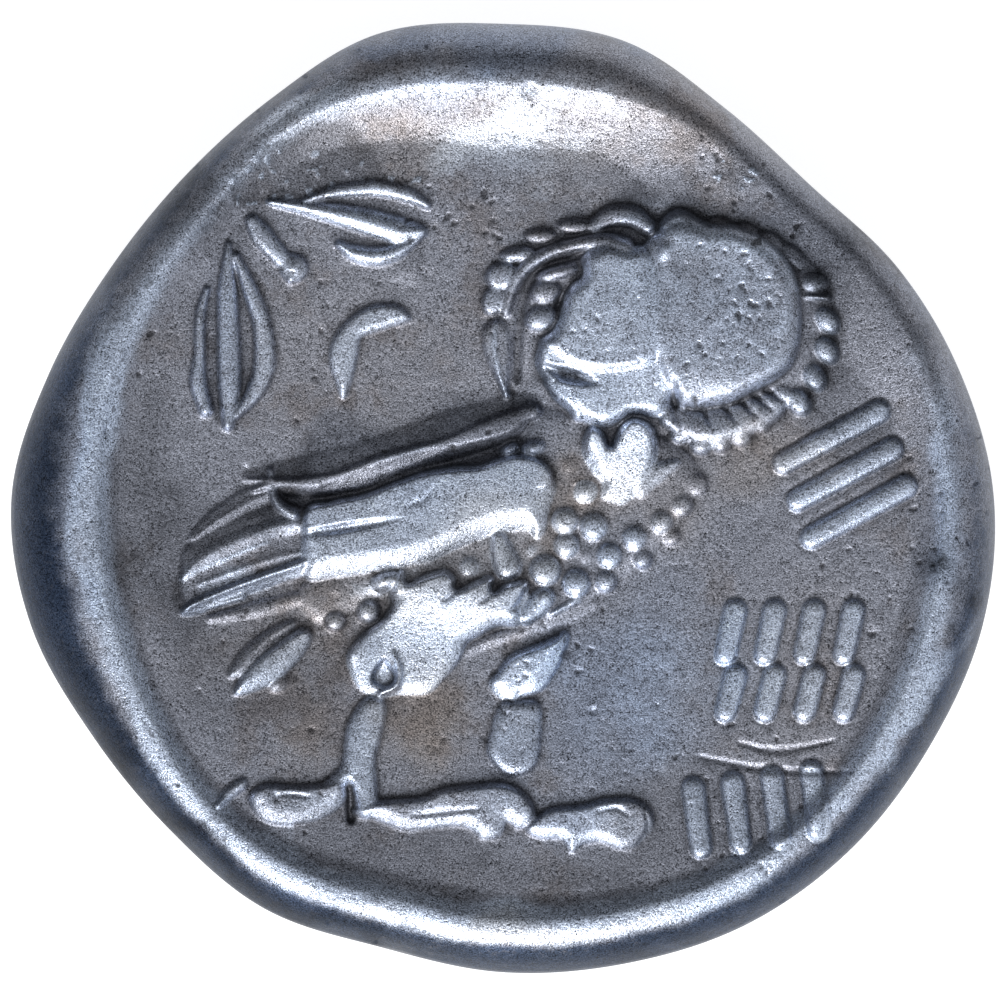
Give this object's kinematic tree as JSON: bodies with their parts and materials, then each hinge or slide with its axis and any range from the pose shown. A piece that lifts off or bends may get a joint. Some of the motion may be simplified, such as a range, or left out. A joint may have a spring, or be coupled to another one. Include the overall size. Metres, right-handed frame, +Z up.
{
  "type": "ancient silver tetradrachm coin",
  "caption": "Thick hammered silver coin with an owl, olive sprig and crescent in a sunken square, and a helmeted head beneath.",
  "frame": {"origin": "on the resting plane, below the middle of the flan's box", "axes": "+Z up out of the owl side, +Y to the top of the owl side, +X to the right of the owl side, along the flan's longer width"},
  "size_m": [0.025, 0.0242, 0.0056],
  "materials": {
    "silver": "worn hand-struck silver, toned brown-grey in the recesses and blue-grey on the rim"
  },
  "bodies": {
    "root": {"coin": "silver"}
  },
  "joints": []
}
